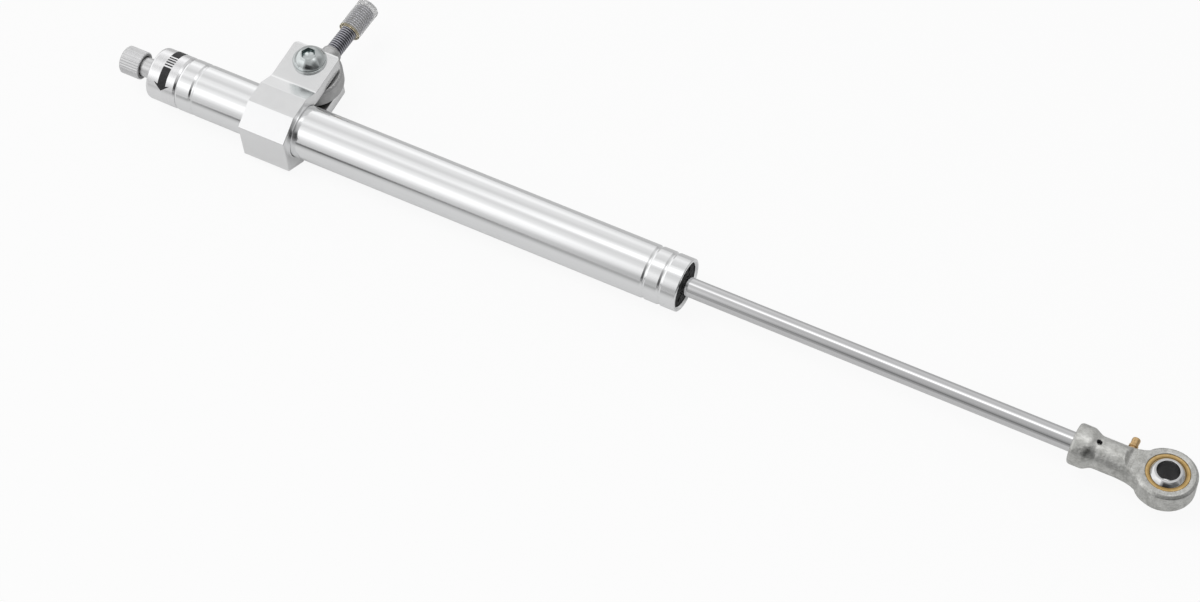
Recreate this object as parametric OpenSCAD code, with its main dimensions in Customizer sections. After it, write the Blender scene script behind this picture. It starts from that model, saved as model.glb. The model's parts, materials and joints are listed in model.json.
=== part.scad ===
// Telescopic steering damper for a motorcycle, in millimetres.
// The origin is the centre of the rod end's ball with the rod fully out.
// X runs along the barrel and points out of the rod end, and Z points up.

/* [Barrel] */
// Outer diameter of the barrel
tube_d = 25; // [23:0.5:32]
// Wall of the outer tube
tube_wall = 2; // [1.5:0.1:2.5]
// Length of the outer tube, from its seam with the end cap to its open rim
tube_l = 257.5; // [240:0.5:320]
// Width of each turned groove
groove_w = 1.8; // [1:0.1:2.5]
// Depth of each turned groove
groove_depth = 0.5; // [0.3:0.05:0.8]
// Distance of the first groove from each end of the tube
groove_first = 8.4; // [6:0.1:12]
// Distance between the two grooves beside the open rim
groove_pitch = 7.9; // [5:0.1:12]
// Oil gap between the outer tube and the inner cylinder
annulus = 1.5; // [1:0.1:2]
// Length of the foam that takes up the rod's volume
foam_l = 90; // [60:1:120]
// Distance from the valve block to the foam
foam_gap = 12; // [5:0.5:30]
// Wall of the inner cylinder
cylinder_wall = 1; // [0.8:0.1:1.5]

/* [End cap and adjuster] */
// Length of the end cap that shows
cap_l = 15.8; // [12:0.1:24]
// Radius of the end cap's outer edge
cap_edge_r = 1.6; // [0.5:0.1:3]
// Length of the end cap's spigot inside the tube
cap_spigot_l = 12; // [10:0.5:16]
// Diameter of the neck that the knob turns on
neck_d = 9.4; // [8.6:0.1:10]
// Diameter of the knob over its knurl
knob_d = 13.4; // [13:0.1:18]
// Length of the knob
knob_l = 10.5; // [9:0.1:16]
// Depth of the recess in the knob
knob_recess_l = 7; // [5:0.1:7.5]
// Number of ridges in the knurl
knurl_count = 64; // [40:1:90]
// Depth of the knurl
knurl_depth = 0.3; // [0.1:0.05:0.4]
// Air between the end cap and the knob when it is backed out
knob_gap = 8; // [6:0.1:12]
// Travel of the adjuster along its thread
adjuster_travel = 3; // [2:0.1:4]
// Diameter of the adjuster's thread
adjuster_d = 6; // [5:0.1:6.2]
// Diameter of the needle below its thread
needle_d = 4.8; // [4:0.1:5]
// Diameter of the orifice that the needle closes
orifice_d = 3; // [2:0.1:3.4]

/* [Rod and piston] */
// Diameter of the rod
rod_d = 9; // [8:0.1:10]
// Length of rod that shows when it is fully out
rod_out = 182.8; // [150:0.5:220]
// Length of the piston
piston_l = 12; // [8:0.5:16]
// Width of the piston ring
ring_w = 3; // [2:0.1:4]
// Diameter of the thread that carries the piston
piston_thread_d = 6; // [5:0.1:6.4]

/* [Gland] */
// Depth of the gland nut below the rim
nut_recess = 1.2; // [0.5:0.1:3]
// Thickness of the gland nut
nut_l = 6; // [5:0.1:10]
// Diameter of the pin spanner holes in the gland nut
spanner_hole_d = 2.4; // [1.5:0.1:2.8]
// Diameter of the circle of the spanner holes
spanner_pcd = 14.4; // [13.8:0.1:15]
// Length of the rod guide against the tube
guide_l = 17; // [15:0.5:24]
// Length of the rod seal
rod_seal_l = 4.5; // [3:0.1:5]
// Length of the guide bush
bush_l = 11; // [8:0.5:12]
// Wall of the guide bush
bush_wall = 1.5; // [1:0.1:2]
// Thickness of the rubber bumper at full extension
bumper_l = 4; // [2:0.1:6]

/* [Rod end] */
// Diameter of the rod end's head
head_d = 26; // [24:0.1:30]
// Thickness of the rod end's head
head_t = 11; // [10.6:0.1:13]
// Chamfer round the head
head_chamfer = 1.2; // [0.4:0.1:2]
// Distance from the ball's centre to the face of the collar
shank_l = 41.4; // [38:0.1:60]
// Diameter of the shank
shank_d = 14.4; // [13:0.1:15.5]
// Diameter of the collar
collar_d = 18.3; // [15.6:0.1:20]
// Length of the collar before it tapers
collar_l = 6; // [2:0.1:6]
// Diameter of the thread that holds the rod
shank_thread_d = 8; // [6:0.1:8]
// Depth of the threaded hole in the shank
shank_hole_l = 22; // [16:0.5:23]
// Diameter of the bolt hole through the ball
ball_bore_d = 10; // [8:0.1:10.4]
// Width of the ball
ball_w = 14; // [13:0.1:16]
// Diameter of the ball's sphere
ball_d = 18.4; // [18:0.1:19]
// Diameter of the brass race at its faces
race_face_d = 19.3; // [19:0.1:20]
// Height of the race
race_h = 10.4; // [9:0.1:10.4]
// Diameter of the grease nipple's head
nipple_d = 4; // [3:0.1:5]

/* [Clamp] */
// Width of the clamp along the barrel
clamp_w = 24; // [20:0.5:30]
// Distance from the end cap's face to the pivot
clamp_place = 66.5; // [45:0.5:200]
// Turn of the clamp about the barrel, in degrees
clamp_roll = 5.5; // [-90:0.5:90]
// Metal in front of the bore
front_wall = 4.45; // [3:0.05:8]
// Metal above and below the bore
top_wall = 4.65; // [3:0.05:8]
// Width of the slot between the ears
slot_h = 12.8; // [12:0.1:16]
// Thickness of each ear
ear_t = 6.3; // [5:0.1:8]
// Chamfer at each end of the clamp's bore
bore_chamfer = 0.8; // [0.3:0.1:1.5]
// Distance from the barrel's axis to the pivot
pivot_reach = 28.3; // [27.6:0.1:36]
// Distance from the pivot to the ends of the ears
ear_past = 8; // [7.2:0.1:9]

/* [Pivot] */
// Diameter of the pivot screw
screw_d = 8; // [6:0.1:8]
// Length of the pivot screw under its head
screw_l = 25; // [23:0.5:26]
// Diameter of the button head
button_d = 14; // [12:0.1:16]
// Height of the button head
button_h = 4.4; // [4:0.1:5]
// Width of the hexagon socket across its flats
socket_af = 5; // [4:0.5:6]
// Diameter of the washer under the head
washer_d = 15.8; // [15:0.1:17]
// Thickness of the washer
washer_t = 1; // [0.6:0.1:2]
// Diameter of the pivot eye
eye_d = 28.4; // [26:0.1:29]
// Thickness of the pivot eye
eye_t = 9.4; // [8:0.1:9.8]
// Diameter of the ball in the eye
eye_ball_d = 17.2; // [16.6:0.1:18]
// Distance from the pivot to the end of the eye's boss
boss_reach = 16.8; // [17:0.1:24]
// Diameter of the boss at its end
boss_d = 9.2; // [8.6:0.1:10]
// Turn of the stud from square to the barrel, in degrees
stud_swing = 4; // [-60:0.5:60]
// Diameter of the stud's thread
stud_d = 8; // [6:0.1:8]
// Distance from the pivot to the tip of the stud
stud_reach = 44.8; // [40:0.1:60]
// Outer diameter of the thread cap
thread_cap_d = 11; // [10.4:0.1:14]
// Length of the thread cap
thread_cap_l = 16.8; // [12:0.1:24]
// End wall of the thread cap
thread_cap_end = 1.8; // [1:0.1:3]

/* [Clearances] */
// Radial gap between pieces that are fixed together
seat_gap = 0.04; // [0.02:0.01:0.06]
// Radial gap of a running fit
run_gap = 0.05; // [0.03:0.01:0.08]
// Radial gap between pieces that move without touching
free_gap = 0.4; // [0.3:0.05:0.6]
// Gap at a stop or a face that something slides up to
stop_gap = 0.3; // [0.2:0.05:0.5]

/* [Hidden] */

// Facets of a full circle
round_fn = 72;
// Overshoot of a cutting shape
over = 1;
// Small edge break on turned pieces
edge_break = 0.4;

// Radii across the barrel
tube_r = tube_d / 2;
tube_bore_r = tube_r - tube_wall;
cylinder_r = tube_bore_r - annulus;
cylinder_bore_r = cylinder_r - cylinder_wall;
rod_r = rod_d / 2;
bush_r = rod_r + bush_wall;
seal_r = bush_r + 1.2;
wiper_r = (spanner_pcd - spanner_hole_d) / 2 - 0.3;
piston_r = cylinder_bore_r - free_gap;
ring_r = cylinder_bore_r - run_gap;
ring_seat_r = ring_r - 1.6;
piston_spigot_r = piston_thread_d / 2;
piston_port_r = (piston_spigot_r + ring_seat_r) / 2;

// Places along the barrel, from the rod end to the knob
collar_x = -shank_l;
rim_x = collar_x - rod_out;
nut_x1 = rim_x - nut_recess;
nut_x0 = nut_x1 - nut_l;
guide_shoulder_x = nut_x0 - guide_l;
spigot_l = 3;
guide_x0 = guide_shoulder_x - spigot_l;
bumper_x0 = guide_x0 - bumper_l;
seam_x = rim_x - tube_l;
cap_x0 = seam_x - cap_l;
cap_end_x = seam_x + cap_spigot_l;
block_head_l = 7;
block_waist_l = 5;
block_waist_x = cap_end_x + block_head_l;
block_shoulder_x = block_waist_x + block_waist_l;
block_x1 = block_shoulder_x + spigot_l;
knob_x1 = cap_x0 - knob_gap;
knob_x0 = knob_x1 - knob_l;
recess_end_x = knob_x1 - knob_recess_l;
neck_x0 = recess_end_x + adjuster_travel + stop_gap;

// Piston stack at full extension
shim_t = 0.6;
shim_r = ring_seat_r;
piston_nut_af = piston_thread_d + 4;
piston_nut_l = 5;
stack_x1 = bumper_x0 - stop_gap;
piston_x1 = stack_x1 - shim_t;
piston_x0 = piston_x1 - piston_l;
stack_x0 = piston_x0 - shim_t;
piston_nut_x0 = stack_x0 - piston_nut_l;
rod_x0 = piston_nut_x0 - 1;
ring_x = (piston_x0 + piston_x1) / 2;

// O-rings: cord diameter, groove width and the depth that the groove takes
cord_d = 2;
cord_groove_w = 2.4;
cord_groove_depth = 1.9;
cap_cord_x = seam_x + 7;
block_cord_x = cap_end_x + 2;
guide_cord_x = guide_shoulder_x + 5;

// Adjuster
adjuster_r = adjuster_d / 2;
needle_r = needle_d / 2;
orifice_r = orifice_d / 2;
seat_x = block_waist_x + 3;
tip_l = 3.5;
tip_r = 0.8;
tip_x = seat_x + 1.4 - adjuster_travel;
needle_shoulder_x = cap_end_x - 2 - adjuster_travel;
needle_ring_x = needle_shoulder_x + 3.2;
needle_cord_d = 1.2;
stem_r = 2;
knob_r = knob_d / 2;
recess_r = neck_d / 2 + 0.8;
click_count = 18;
detent_x = seam_x + 3;
detent_ball_r = 1.1;
detent_z = adjuster_r + stop_gap + detent_ball_r;

// Check valve beside the needle
check_z = adjuster_r + 2.6;
check_bore_r = 1.7;
check_ball_r = 1.5;
check_orifice_r = 1;
check_seat_x = block_waist_x + 1;

// Rod end
head_r = head_d / 2;
shank_r = shank_d / 2;
collar_r = collar_d / 2;
ball_r = ball_d / 2;
race_sphere_r = ball_r + run_gap;
race_bulge_r = race_sphere_r + 1.2;
race_face_r = race_face_d / 2;
race_belt_h = race_h / 2.4;
neck_fillet_r = 12;
fillet_y = shank_r + neck_fillet_r;
fillet_x = sqrt(pow(head_r + neck_fillet_r, 2) - pow(fillet_y, 2));
press_x = -23.5;
nipple_x = -18.2;
nipple_lift = 4;
nipple_l = 5.8;
witness_x = collar_x + 10.6;
witness_d = 2.4;

// Clamp, in its own frame before it is turned about the barrel
clamp_bore_r = tube_r + run_gap;
clamp_half_w = clamp_w / 2;
clamp_front = clamp_bore_r + front_wall;
clamp_top = clamp_bore_r + top_wall;
corner_drop = 6.9;
corner_run = 11.2;
ear_in = slot_h / 2;
ear_out = ear_in + ear_t;
ear_end = pivot_reach + ear_past;
ear_fillet_r = 7.4;
ear_edge_r = 1.5;
ear_root_y = clamp_bore_r + 1.4;
pivot_x = cap_x0 + clamp_place;

// Pivot
screw_r = screw_d / 2;
washer_z = ear_out + washer_t;
pivot_ball_h = slot_h - 2 * 0.1;
eye_r = eye_d / 2;
eye_ball_r = eye_ball_d / 2;
eye_sphere_r = eye_ball_r + run_gap;
eye_bulge_r = eye_sphere_r + 1;
eye_chamfer = 1;
stud_r = stud_d / 2;
stud_seat = 11.5;
cap_bore_r = stud_r + run_gap;
thread_cap_x1 = stud_reach + stop_gap + thread_cap_end;
thread_cap_x0 = thread_cap_x1 - thread_cap_l;

// Helpers. A profile about the barrel's axis is a list of [radius, x].
module turned(points) {
    rotate([0, 90, 0]) rotate_extrude($fn = round_fn) polygon(points);
}

module bar(x0, x1, r) {
    translate([x0, 0, 0]) rotate([0, 90, 0]) cylinder(h = x1 - x0, r = r, $fn = round_fn);
}

module ring(x0, x1, outer, inner) {
    difference() {
        bar(x0, x1, outer);
        bar(x0 - over, x1 + over, inner);
    }
}

module o_ring(x, r, cord) {
    translate([x, 0, 0]) rotate([0, 90, 0])
        rotate_extrude($fn = round_fn) translate([r - cord / 2, 0]) circle(d = cord, $fn = 24);
}

// Points of an arc, and of a smooth step from one radius to another
function arc(c, r, a0, a1, n = 6) =
    [for (i = [0:n]) c + r * [cos(a0 + (a1 - a0) * i / n), sin(a0 + (a1 - a0) * i / n)]];
function smooth_step(r0, x0, r1, x1, n = 8) =
    [for (i = [0:n]) let (t = i / n) [r0 + (r1 - r0) * t * t * (3 - 2 * t), x0 + (x1 - x0) * t]];
function groove(r, x) = [
    [r, x - groove_w / 2], [r - groove_depth, x - groove_w / 8],
    [r - groove_depth, x + groove_w / 8], [r, x + groove_w / 2]
];

// A coil spring along Z from z0 to z1, swept as one tube of six sides
module coil(r, wire, z0, z1, turns) {
    steps = 12 * turns;
    sides = 6;
    rise = (z1 - z0 - wire) / steps;
    points = [
        for (i = [0:steps]) for (k = [0:sides - 1])
            let (a = 30 * i, b = 360 * k / sides, q = r + wire / 2 * cos(b))
            [q * cos(a), q * sin(a), z0 + wire / 2 + rise * i + wire / 2 * sin(b)]
    ];
    walls = [
        for (i = [0:steps - 1]) for (k = [0:sides - 1])
            let (n = (k + 1) % sides, p = i * sides, q = p + sides)
            each [[p + k, q + k, q + n], [p + k, q + n, p + n]]
    ];
    ends = [
        for (k = [1:sides - 2]) each [[0, k, k + 1], [steps * sides, steps * sides + k + 1, steps * sides + k]]
    ];
    polyhedron(points, concat(walls, ends), convexity = 4);
}

// Barrel
module outer_tube() {
    color("gainsboro") turned(concat(
        [[tube_bore_r, seam_x], [tube_r - groove_depth, seam_x], [tube_r, seam_x + groove_w / 2]],
        groove(tube_r, seam_x + groove_first),
        groove(tube_r, rim_x - groove_first - groove_pitch),
        groove(tube_r, rim_x - groove_first),
        [[tube_r, rim_x - edge_break], [tube_r - edge_break, rim_x]],
        [[tube_bore_r + 0.7, rim_x], [tube_bore_r, rim_x - 0.7]]
    ));
}

module end_cap() {
    spigot_r = tube_bore_r - seat_gap;
    color("gainsboro") difference() {
        turned(concat(
            [[0, neck_x0], [neck_d / 2 - edge_break, neck_x0], [neck_d / 2, neck_x0 + edge_break]],
            [[neck_d / 2, cap_x0]],
            [for (p = arc([tube_r - cap_edge_r, -cap_edge_r], cap_edge_r, 90, 0)) [p[0], cap_x0 - p[1]]],
            [[tube_r, seam_x - groove_w / 2], [tube_r - groove_depth, seam_x], [spigot_r, seam_x]],
            [[spigot_r, cap_cord_x], [spigot_r - cord_groove_depth, cap_cord_x]],
            [[spigot_r - cord_groove_depth, cap_cord_x + cord_groove_w], [spigot_r, cap_cord_x + cord_groove_w]],
            [[spigot_r, cap_end_x], [0, cap_end_x]]
        ));
        bar(neck_x0 - over, cap_end_x + over, adjuster_r + run_gap);
        translate([detent_x, 0, -tube_r]) cylinder(h = tube_r, r = detent_ball_r + seat_gap, $fn = 24);
    }
}

module cap_o_ring() {
    color("black") o_ring(cap_cord_x + cord_groove_w / 2, tube_bore_r - seat_gap, cord_d - 0.2);
}

module inner_cylinder() {
    port_x = guide_shoulder_x - spigot_l - 2;
    color("lightsteelblue") difference() {
        ring(block_shoulder_x, guide_shoulder_x, cylinder_r, cylinder_bore_r);
        for (a = [0:90:270])
            translate([port_x, 0, 0]) rotate([a, 0, 0]) cylinder(h = tube_r, r = 1.2, $fn = 24);
    }
}

module valve_block() {
    head_r = tube_bore_r - seat_gap;
    nose_r = cylinder_bore_r - seat_gap;
    chamber_r = adjuster_r + run_gap;
    color("darkkhaki") difference() {
        turned([
            [0, cap_end_x], [head_r, cap_end_x], [head_r, block_cord_x], [head_r - cord_groove_depth, block_cord_x],
            [head_r - cord_groove_depth, block_cord_x + cord_groove_w], [head_r, block_cord_x + cord_groove_w],
            [head_r, block_waist_x], [cylinder_r, block_waist_x], [cylinder_r, block_shoulder_x],
            [nose_r, block_shoulder_x], [nose_r, block_x1], [0, block_x1]
        ]);
        bar(cap_end_x - over, seat_x, chamber_r);
        bar(seat_x - over, block_x1 + over, orifice_r);
        for (a = [90, 270])
            translate([seat_x - 1.2, 0, 0]) rotate([a, 0, 0]) cylinder(h = tube_r, r = 1, $fn = 24);
        translate([0, 0, -check_z]) {
            bar(cap_end_x - over, check_seat_x, check_bore_r);
            bar(check_seat_x - over, block_x1 + over, check_orifice_r);
        }
    }
}

module valve_o_ring() {
    color("black") o_ring(block_cord_x + cord_groove_w / 2, tube_bore_r - seat_gap, cord_d - 0.2);
}

module check_ball() {
    color("silver") translate([check_seat_x - check_ball_r, 0, -check_z]) sphere(r = check_ball_r, $fn = 32);
}

module check_spring() {
    color("dimgray") translate([0, 0, -check_z]) rotate([0, 90, 0])
        coil(check_bore_r - 0.45, 0.5, cap_end_x + seat_gap, check_seat_x - 2 * check_ball_r - 0.2, 3);
}

module compensator_foam() {
    foam_x0 = block_x1 + foam_gap;
    color("darkslategray") ring(foam_x0, foam_x0 + foam_l, tube_bore_r - 0.2, cylinder_r + 0.2);
}

// Gland at the open end
module rod_guide() {
    guide_r = tube_bore_r - seat_gap;
    nose_r = cylinder_bore_r - seat_gap;
    color("silver") difference() {
        turned([
            [0, guide_x0], [nose_r, guide_x0], [nose_r, guide_shoulder_x], [guide_r, guide_shoulder_x],
            [guide_r, guide_cord_x], [guide_r - cord_groove_depth, guide_cord_x],
            [guide_r - cord_groove_depth, guide_cord_x + cord_groove_w], [guide_r, guide_cord_x + cord_groove_w],
            [guide_r, nut_x0], [0, nut_x0]
        ]);
        bar(guide_x0 - over, nut_x0 + over, rod_r + free_gap);
        bar(guide_x0 - over, guide_x0 + bush_l, bush_r + seat_gap);
        bar(nut_x0 - rod_seal_l, nut_x0 + over, seal_r + seat_gap);
    }
}

module guide_bush() {
    color("peru") ring(guide_x0, guide_x0 + bush_l - seat_gap, bush_r, rod_r + run_gap);
}

module rod_seal() {
    color("black") turned([
        [rod_r + run_gap, nut_x0 - rod_seal_l], [seal_r, nut_x0 - rod_seal_l], [seal_r, nut_x0],
        [rod_r + 1.2, nut_x0], [rod_r + free_gap, nut_x0 - rod_seal_l / 2], [rod_r + run_gap, nut_x0 - rod_seal_l / 1.6]
    ]);
}

module guide_o_ring() {
    color("black") o_ring(guide_cord_x + cord_groove_w / 2, tube_bore_r - seat_gap, cord_d - 0.2);
}

module gland_nut() {
    nut_r = tube_bore_r - seat_gap;
    color("dimgray") difference() {
        turned([
            [rod_r + free_gap, nut_x0], [nut_r, nut_x0], [nut_r, nut_x1 - edge_break],
            [nut_r - edge_break, nut_x1], [wiper_r + seat_gap, nut_x1],
            [wiper_r + seat_gap, nut_x1 - nut_l / 2], [rod_r + free_gap, nut_x1 - nut_l / 2]
        ]);
        for (a = [-45, 135])
            rotate([a, 0, 0]) translate([nut_x1 - nut_l / 2, 0, spanner_pcd / 2]) rotate([0, 90, 0])
                cylinder(h = nut_l, d = spanner_hole_d, $fn = 24);
    }
}

module wiper_seal() {
    wiper_x0 = nut_x1 - nut_l / 2 + seat_gap;
    color("black") turned([
        [rod_r + free_gap, wiper_x0], [wiper_r, wiper_x0], [wiper_r, nut_x1 - 0.3],
        [rod_r + 0.7, nut_x1 - 0.3], [rod_r + run_gap, nut_x1 + 0.5], [rod_r + run_gap, nut_x1 - 0.6]
    ]);
}

module top_out_bumper() {
    color("darkgoldenrod") ring(bumper_x0, guide_x0, bush_r + 0.6, rod_r + free_gap);
}

module detent_ball() {
    color("silver") translate([detent_x, 0, -detent_z]) sphere(r = detent_ball_r, $fn = 32);
}

module detent_spring() {
    color("dimgray") translate([detent_x, 0, 0])
        coil(detent_ball_r - 0.3, 0.4, seat_gap - tube_bore_r, -detent_z - detent_ball_r - 0.1, 5);
}

// Adjuster
module adjuster_needle() {
    ring_half = needle_cord_d / 2 + 0.1;
    color("goldenrod") difference() {
        turned([
            [0, knob_x0 + 1], [stem_r, knob_x0 + 1], [stem_r, neck_x0 - adjuster_travel + 1],
            [adjuster_r, neck_x0 - adjuster_travel + 2], [adjuster_r, needle_shoulder_x],
            [needle_r, needle_shoulder_x], [needle_r, needle_ring_x - ring_half],
            [needle_r - 0.6, needle_ring_x - ring_half], [needle_r - 0.6, needle_ring_x + ring_half],
            [needle_r, needle_ring_x + ring_half], [needle_r, tip_x - tip_l - 1],
            [needle_r - 0.3, tip_x - tip_l], [tip_r, tip_x], [0, tip_x]
        ]);
        translate([knob_x0, 0, 0]) cube([4, 0.8, 2 * stem_r + over], center = true);
    }
}

module needle_o_ring() {
    color("black") o_ring(needle_ring_x, adjuster_r, needle_cord_d - 0.1);
}

module knurled_disc(r, depth, count, h) {
    linear_extrude(height = h) polygon([
        for (i = [0:2 * count - 1]) let (a = 180 * i / count, q = r - depth * (i % 2)) [q * cos(a), q * sin(a)]
    ]);
}

module adjuster_knob() {
    bevel = 0.9;
    root_r = knob_r - knurl_depth;
    color("silver") difference() {
        union() {
            turned([
                [0, knob_x0], [root_r - bevel, knob_x0], [root_r, knob_x0 + bevel],
                [root_r, knob_x1 - bevel / 2], [root_r - bevel / 2, knob_x1], [0, knob_x1]
            ]);
            translate([knob_x0 + bevel, 0, 0]) rotate([0, 90, 0])
                knurled_disc(knob_r, knurl_depth - 0.05, knurl_count, knob_l - 1.5 * bevel);
        }
        bar(recess_end_x, knob_x1 + over, recess_r);
        bar(knob_x0 - over, knob_x1, stem_r + seat_gap);
        translate([knob_x0 + 1.9, 0, -knob_r - over]) cylinder(h = knob_r, r = 1.04, $fn = 24);
    }
}

module knob_grub_screw() {
    color("dimgray") translate([knob_x0 + 1.9, 0, 0]) difference() {
        translate([0, 0, 0.5 - knob_r]) cylinder(h = knob_r - 0.5 - stem_r - seat_gap, r = 1, $fn = 24);
        translate([0, 0, -knob_r]) cylinder(h = 1.5, d = 1, $fn = 6);
    }
}

// Rod and piston
module piston_ring() {
    color("burlywood") ring(ring_x - ring_w / 2, ring_x + ring_w / 2, ring_r, ring_seat_r + run_gap);
}

module piston_rod() {
    thread_r = shank_thread_d / 2;
    thread_end = collar_x + shank_hole_l - 1;
    color("lightgray") turned([
        [0, rod_x0], [piston_spigot_r - edge_break, rod_x0], [piston_spigot_r, rod_x0 + edge_break],
        [piston_spigot_r, stack_x1], [rod_r - edge_break, stack_x1], [rod_r, stack_x1 + edge_break],
        [rod_r, collar_x - edge_break], [thread_r, collar_x], [thread_r, thread_end - edge_break],
        [thread_r - edge_break, thread_end], [0, thread_end]
    ]);
}

module piston() {
    slack = stop_gap / 2;
    color("silver") difference() {
        turned([
            [piston_spigot_r + seat_gap, piston_x0], [piston_r - edge_break, piston_x0],
            [piston_r, piston_x0 + edge_break], [piston_r, ring_x - ring_w / 2 - slack],
            [ring_seat_r, ring_x - ring_w / 2 - slack], [ring_seat_r, ring_x + ring_w / 2 + slack],
            [piston_r, ring_x + ring_w / 2 + slack], [piston_r, piston_x1 - edge_break],
            [piston_r - edge_break, piston_x1], [piston_spigot_r + seat_gap, piston_x1]
        ]);
        for (a = [0:60:300])
            rotate([a, 0, 0]) translate([piston_x0 - over, 0, piston_port_r]) rotate([0, 90, 0])
                cylinder(h = piston_l + 2 * over, r = 0.8, $fn = 24);
    }
}

module piston_shims() {
    for (x = [stack_x0, piston_x1])
        color("lightsteelblue") ring(x, x + shim_t, shim_r, piston_spigot_r + seat_gap);
}

module piston_nut() {
    color("darkgray") difference() {
        translate([piston_nut_x0, 0, 0]) rotate([0, 90, 0])
            cylinder(h = piston_nut_l, d = piston_nut_af / cos(30), $fn = 6);
        bar(piston_nut_x0 - over, stack_x0 + over, piston_spigot_r + seat_gap);
    }
}

// Rod end
module race_form(grow) {
    rotate_extrude($fn = round_fn) polygon([
        [0, -race_h / 2], [race_face_r + grow, -race_h / 2], [race_bulge_r + grow, -race_belt_h / 2],
        [race_bulge_r + grow, race_belt_h / 2], [race_face_r + grow, race_h / 2], [0, race_h / 2]
    ]);
}

module chamfered_disc(r, t, c) {
    rotate_extrude($fn = round_fn) polygon([
        [0, -t / 2], [r - c, -t / 2], [r, c - t / 2], [r, t / 2 - c], [r - c, t / 2], [0, t / 2]
    ]);
}

// Neck: a trumpet turned about the rod's axis that grows into the head, pressed flat to the head's thickness
module neck() {
    // The arc stops just short of touching the head, and a straight run carries it inside
    turn = asin(fillet_x / (head_r + neck_fillet_r)) - 7;
    run = 3;
    flare = [for (i = [0:6]) let (a = turn * i / 6)
        [fillet_y - neck_fillet_r * cos(a), neck_fillet_r * sin(a) - fillet_x]];
    last = flare[6] + run * [sin(turn), cos(turn)];
    intersection() {
        turned(concat([[0, -fillet_x]], flare, [last, [0, last[1]]]));
        translate([-fillet_x, -head_r, -head_t / 2]) cube([fillet_x, 2 * head_r, head_t]);
    }
}

// Shank: its last stretch is pressed down above and below, a little deeper than the head's faces
module shank() {
    taper_l = 5;
    end_x = over - fillet_x;
    press_r = 9;
    pressed = head_t / 2 - 0.3;
    half = concat(
        [[collar_x - over, collar_r + over], [press_x, collar_r + over]],
        [for (a = [50:-10:0]) [-fillet_x - press_r * sin(a), pressed + press_r * (1 - cos(a))]],
        [[end_x, pressed]]
    );
    intersection() {
        turned(concat(
            [[0, collar_x], [collar_r - 1.8, collar_x]],
            arc([collar_r - 1.4, collar_x + 1.4], 1.4, -70, 0, 5),
            smooth_step(collar_r, collar_x + collar_l, shank_r, collar_x + collar_l + taper_l),
            [[shank_r, end_x], [0, end_x]]
        ));
        rotate([90, 0, 0]) linear_extrude(height = 2 * (collar_r + over), center = true)
            polygon(concat(half, [for (i = [len(half) - 1:-1:0]) [half[i][0], -half[i][1]]]));
    }
}

module nipple_frame() {
    translate([nipple_x, 0, 0]) rotate([nipple_lift - 90, 0, 0]) children();
}

module rod_end_housing() {
    color("darkgray") difference() {
        union() {
            chamfered_disc(head_r, head_t, head_chamfer);
            neck();
            shank();
        }
        race_form(seat_gap);
        cylinder(h = head_t + over, r = race_face_r + seat_gap, center = true, $fn = round_fn);
        bar(collar_x - over, collar_x + shank_hole_l, shank_thread_d / 2 + seat_gap);
        translate([witness_x, 0, 0]) cylinder(h = collar_r + over, d = witness_d, $fn = 24);
        nipple_frame() translate([0, 0, shank_r - 3]) cylinder(h = 6, r = nipple_d / 2 - 0.7 + seat_gap, $fn = 24);
    }
}

module rod_end_race() {
    color("darkgoldenrod") difference() {
        race_form(0);
        sphere(r = race_sphere_r, $fn = round_fn);
    }
}

module rod_end_ball() {
    bevel = 0.5;
    bore_r = ball_bore_d / 2;
    color("silver") difference() {
        intersection() {
            sphere(r = ball_r, $fn = round_fn);
            cube([2 * ball_r, 2 * ball_r, ball_w], center = true);
        }
        cylinder(h = ball_w + over, r = bore_r, center = true, $fn = round_fn);
        for (s = [0, 180]) rotate([s, 0, 0]) translate([0, 0, ball_w / 2 - bevel])
            cylinder(h = bevel + over, r1 = bore_r, r2 = bore_r + bevel + over, $fn = round_fn);
    }
}

module grease_nipple() {
    r = nipple_d / 2;
    foot = shank_r - 2.6;
    base = shank_r + stop_gap / 2;
    top = shank_r + nipple_l;
    color("chocolate") nipple_frame() difference() {
        rotate_extrude($fn = 32) polygon([
            [0, foot], [r - 0.7, foot], [r - 0.7, base], [r - 0.3, base], [r - 0.3, base + 1.1],
            [r + 0.1, base + 1.2], [r + 0.1, base + 2.2], [r - 0.2, base + 2.5], [r - 0.1, top - 0.5],
            [r - 0.3, top], [0, top]
        ]);
        translate([0, 0, top - 1.4]) cylinder(h = 2, r = 0.6, $fn = 24);
    }
}

// Clamp. Its own frame has Y towards the ears and Z up through the screw.
module on_clamp() {
    rotate([clamp_roll, 0, 0]) children();
}

module on_pivot() {
    on_clamp() translate([pivot_x, pivot_reach, 0]) children();
}

// Upper half of the outline, from the ear's end round to the front; s mirrors it
function half_outline(s) = [for (p = concat(
    [[ear_end, 0]],
    arc([ear_end - ear_edge_r, ear_out - ear_edge_r], ear_edge_r, 0, 90, 4),
    arc([ear_root_y, ear_out + ear_fillet_r], ear_fillet_r, 270, 205, 6),
    [[ear_root_y + ear_fillet_r * cos(205), clamp_top], [corner_run - clamp_front, clamp_top]],
    [[-clamp_front, clamp_top - corner_drop]]
)) [p[0], s * p[1]]];
function backwards(list) = [for (i = [len(list) - 1:-1:0]) list[i]];

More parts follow.
